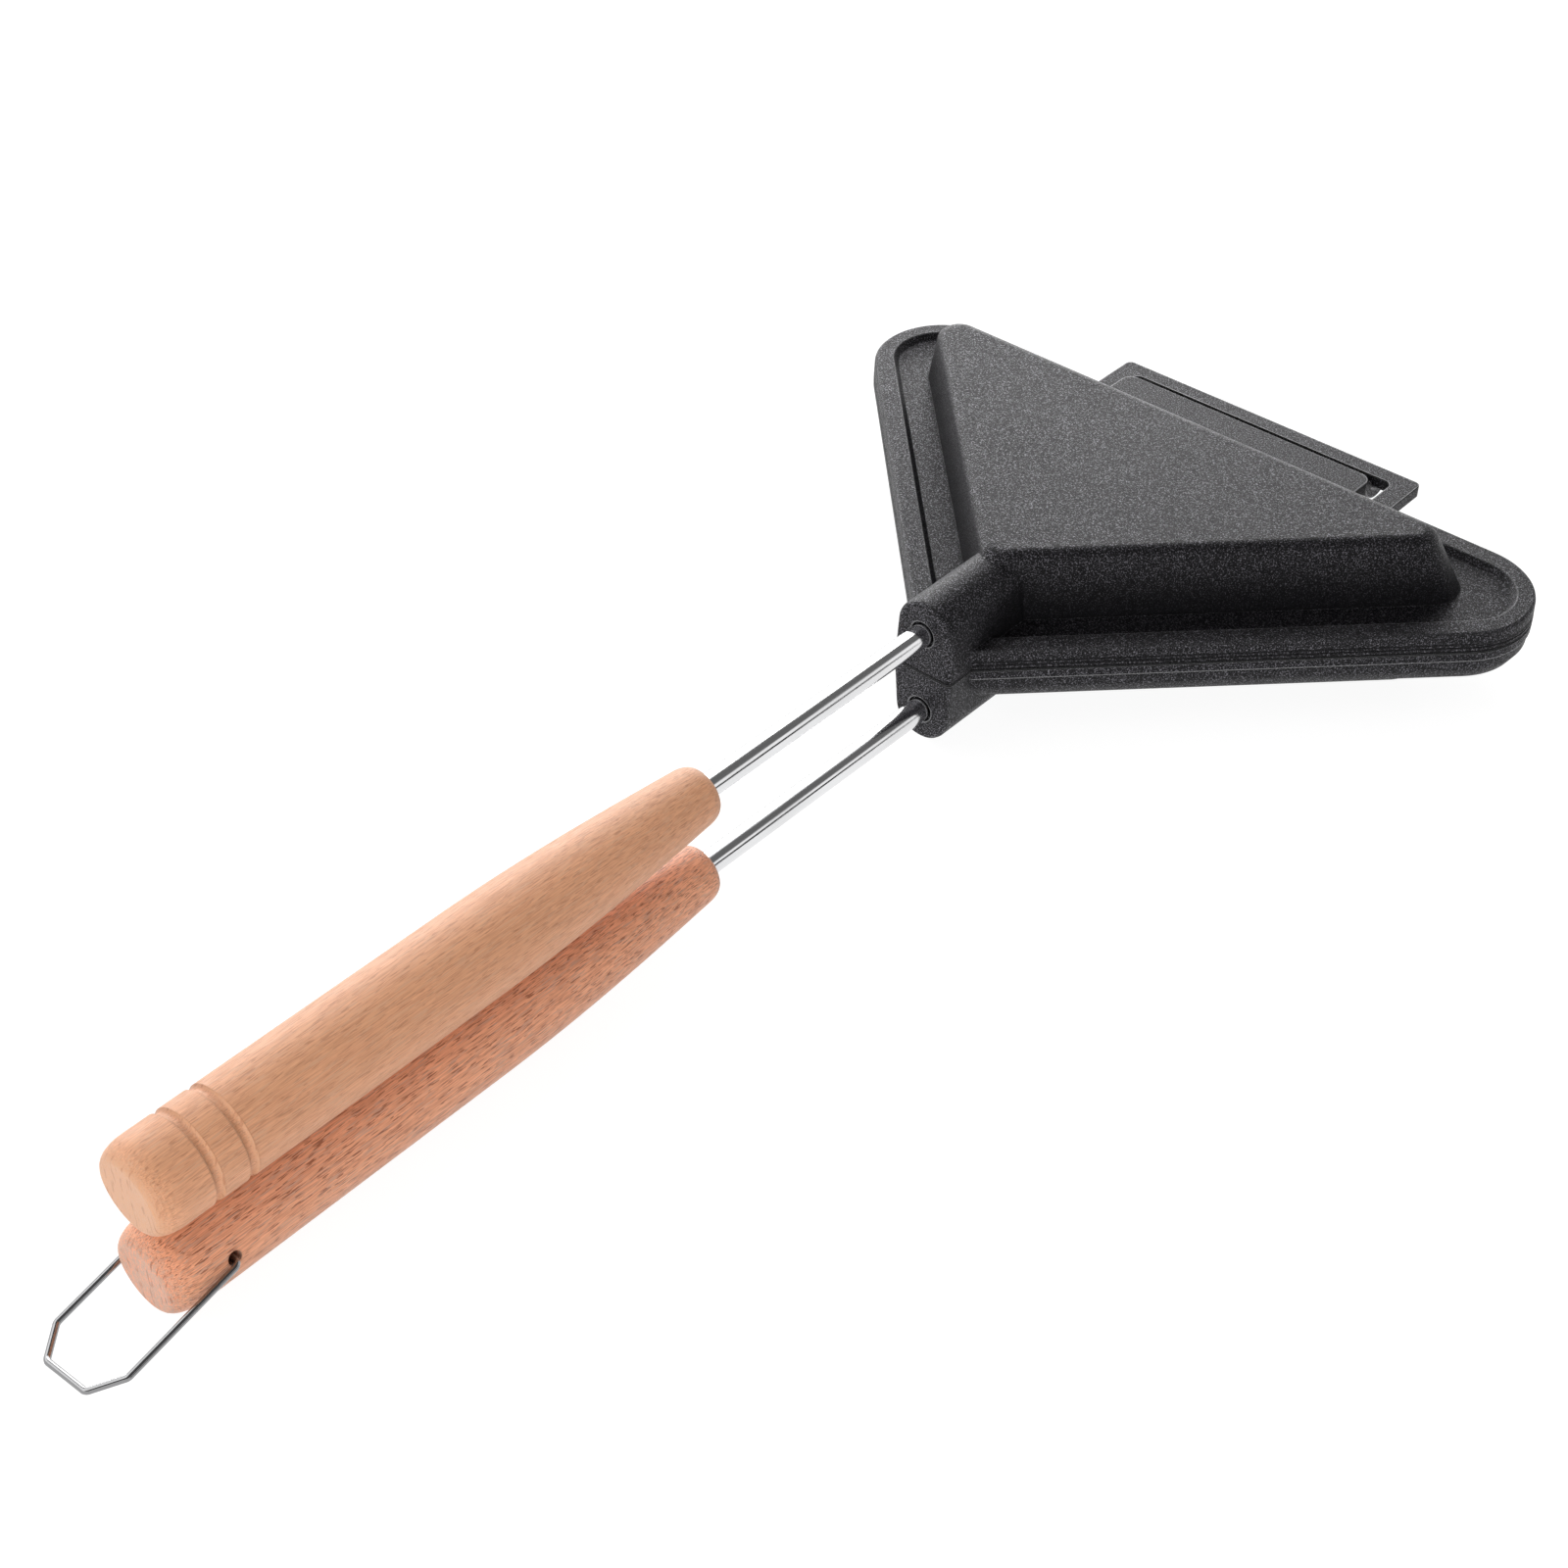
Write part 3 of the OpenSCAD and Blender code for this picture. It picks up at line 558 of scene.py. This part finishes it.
def hang_card(name, place, aim, width, depth):
    """A dark card that only reflections see; it draws a dark line along the polished rods."""
    mesh = bpy.data.meshes.new(name)
    x, y = width / 2, depth / 2
    mesh.from_pydata([(-x, -y, 0), (x, -y, 0), (x, y, 0), (-x, y, 0)], [], [(0, 1, 2, 3)])
    card = bpy.data.objects.new(name, mesh)
    bpy.context.scene.collection.objects.link(card)
    card.location = place
    card.rotation_mode = "QUATERNION"
    card.rotation_quaternion = (Vector(aim) - Vector(place)).to_track_quat("-Z", "Y")
    material = bpy.data.materials.new("dark_card")
    material.use_nodes = True
    tree = material.node_tree
    tree.nodes.clear()
    black = add_node(tree, "ShaderNodeBsdfDiffuse", {"Color": (0.01, 0.01, 0.01, 1.0)})
    output = add_node(tree, "ShaderNodeOutputMaterial")
    tree.links.new(black.outputs[0], output.inputs["Surface"])
    mesh.materials.append(material)
    card.visible_camera = False
    card.visible_diffuse = False
    card.visible_shadow = False


def stage_camera(stage):
    """The camera at the chosen place and angles."""
    turn = stage.camera_turn
    height = stage.camera_height
    right = Vector((math.cos(turn), math.sin(turn), 0))
    back = Vector((math.sin(turn) * math.cos(height), -math.cos(turn) * math.cos(height), math.sin(height)))
    up = back.cross(right)
    lean = Matrix.Rotation(stage.camera_roll, 3, back)
    right = lean @ right
    up = lean @ up
    data = bpy.data.cameras.new("camera")
    data.lens = stage.lens
    data.sensor_width = 36.0
    data.clip_start = 0.01
    data.clip_end = 50.0
    camera = bpy.data.objects.new("camera", data)
    bpy.context.scene.collection.objects.link(camera)
    turned = Matrix((right, up, back)).transposed().to_4x4()
    camera.matrix_world = Matrix.Translation(Vector(stage.camera_place)) @ turned
    bpy.context.scene.camera = camera


# Operators

class SANDWICH_OT_set_stage(bpy.types.Operator):
    """Lay the floor, hang the lamps and place the camera"""
    bl_idname = "sandwich_maker.set_stage"
    bl_label = "Set the stage"

    def execute(self, context):
        stage = settings().stage
        low, high = (Vector(corner) for corner in CAD_BOX)
        middle = (low + high) / 2
        stage_camera(stage)
        stage_floor(stage)
        stage_world(stage)
        hang_lamp("key_lamp", middle + Vector((-0.72, 0.72, 0.86)), middle, 1.3, 1.0, stage.key_level)
        hang_lamp("top_lamp", middle + Vector((-0.55, -0.50, 0.75)), middle, 1.2, 0.9, stage.top_level)
        fill = hang_lamp("fill_lamp", middle + Vector((0.62, -0.85, 0.26)), middle, 1.2, 0.5, stage.fill_level)
        fill.visible_glossy = False
        hang_lamp("rim_lamp", middle + Vector((-0.85, 0.65, 0.14)), middle, 1.7, 0.24, stage.rim_level)
        beside = Vector((0.25, -0.115, 0.034))
        hang_card("low_card", beside, beside - Vector((1.0, 0.0, 0.0)), 0.47, 0.066)
        context.scene.view_settings.view_transform = "Standard"
        return {"FINISHED"}


class SANDWICH_OT_coat_pans(bpy.types.Operator):
    """Coat the two cast pans and soften their edges"""
    bl_idname = "sandwich_maker.coat_pans"
    bl_label = "Coat the pans"

    def execute(self, context):
        coat = settings().coating
        coating = coating_finish(coat)
        for name in PANS:
            soften_edges(finish_piece(name, coating), coat.edge_width)
        return {"FINISHED"}


class SANDWICH_OT_plate_rods(bpy.types.Operator):
    """Plate the two rods and their cross pins"""
    bl_idname = "sandwich_maker.plate_rods"
    bl_label = "Plate the rods"

    def execute(self, context):
        steel = steel_finish("plated_steel", settings().steel.colour, settings().steel.polish)
        for name in STEEL_PIECES:
            shade_evenly(finish_piece(name, steel))
        return {"FINISHED"}


class SANDWICH_OT_oil_grips(bpy.types.Operator):
    """Give the two turned grips their wood"""
    bl_idname = "sandwich_maker.oil_grips"
    bl_label = "Oil the grips"

    def execute(self, context):
        upper = wood_finish("pale_beech", settings().upper_wood, heart=(0.021, 0.0, -0.012))
        lower = wood_finish("red_beech", settings().lower_wood, heart=(-0.034, 0.4, 0.015))
        finish_piece("upper_grip", upper)
        finish_piece("lower_grip", lower)
        return {"FINISHED"}


class SANDWICH_OT_bend_loop(bpy.types.Operator):
    """Give the hanging loop its bright wire"""
    bl_idname = "sandwich_maker.bend_loop"
    bl_label = "Finish the hanging loop"

    def execute(self, context):
        wire = steel_finish("bright_wire", settings().steel.wire_colour, 0.7 * settings().steel.polish)
        shade_evenly(finish_piece("hanging_loop", wire))
        return {"FINISHED"}


class SANDWICH_PT_steps(bpy.types.Panel):
    """Lists the steps that finish the sandwich maker"""
    bl_idname = "SANDWICH_PT_steps"
    bl_label = "Sandwich maker"
    bl_space_type = "VIEW_3D"
    bl_region_type = "UI"
    bl_category = "Sandwich maker"

    def draw(self, context):
        for step in STEPS:
            self.layout.operator(step.bl_idname)


SETTING_GROUPS = (CoatingSettings, SteelSettings, WoodSettings, StageSettings, SandwichMakerSettings)
STEPS = (SANDWICH_OT_set_stage, SANDWICH_OT_coat_pans, SANDWICH_OT_plate_rods, SANDWICH_OT_oil_grips,
         SANDWICH_OT_bend_loop)


def register():
    for kind in (*SETTING_GROUPS, *STEPS, SANDWICH_PT_steps):
        bpy.utils.register_class(kind)
    bpy.types.Scene.sandwich_maker = bpy.props.PointerProperty(type=SandwichMakerSettings)


def unregister():
    del bpy.types.Scene.sandwich_maker
    for kind in reversed((*SETTING_GROUPS, *STEPS, SANDWICH_PT_steps)):
        bpy.utils.unregister_class(kind)


def choose_woods():
    """The lower grip is cut from redder wood than the upper one."""
    red = settings().lower_wood
    red.colour = (0.90, 0.430, 0.250)
    red.late_colour = (0.78, 0.310, 0.170)
    red.fleck_colour = (0.26, 0.078, 0.036)
    red.end_colour = (0.50, 0.305, 0.225)
    red.pore_strength = 0.88


def main():
    """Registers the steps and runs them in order."""
    register()
    choose_woods()
    steps = bpy.ops.sandwich_maker
    steps.set_stage()
    steps.coat_pans()
    steps.plate_rods()
    steps.oil_grips()
    steps.bend_loop()


if __name__ == "__main__":
    main()
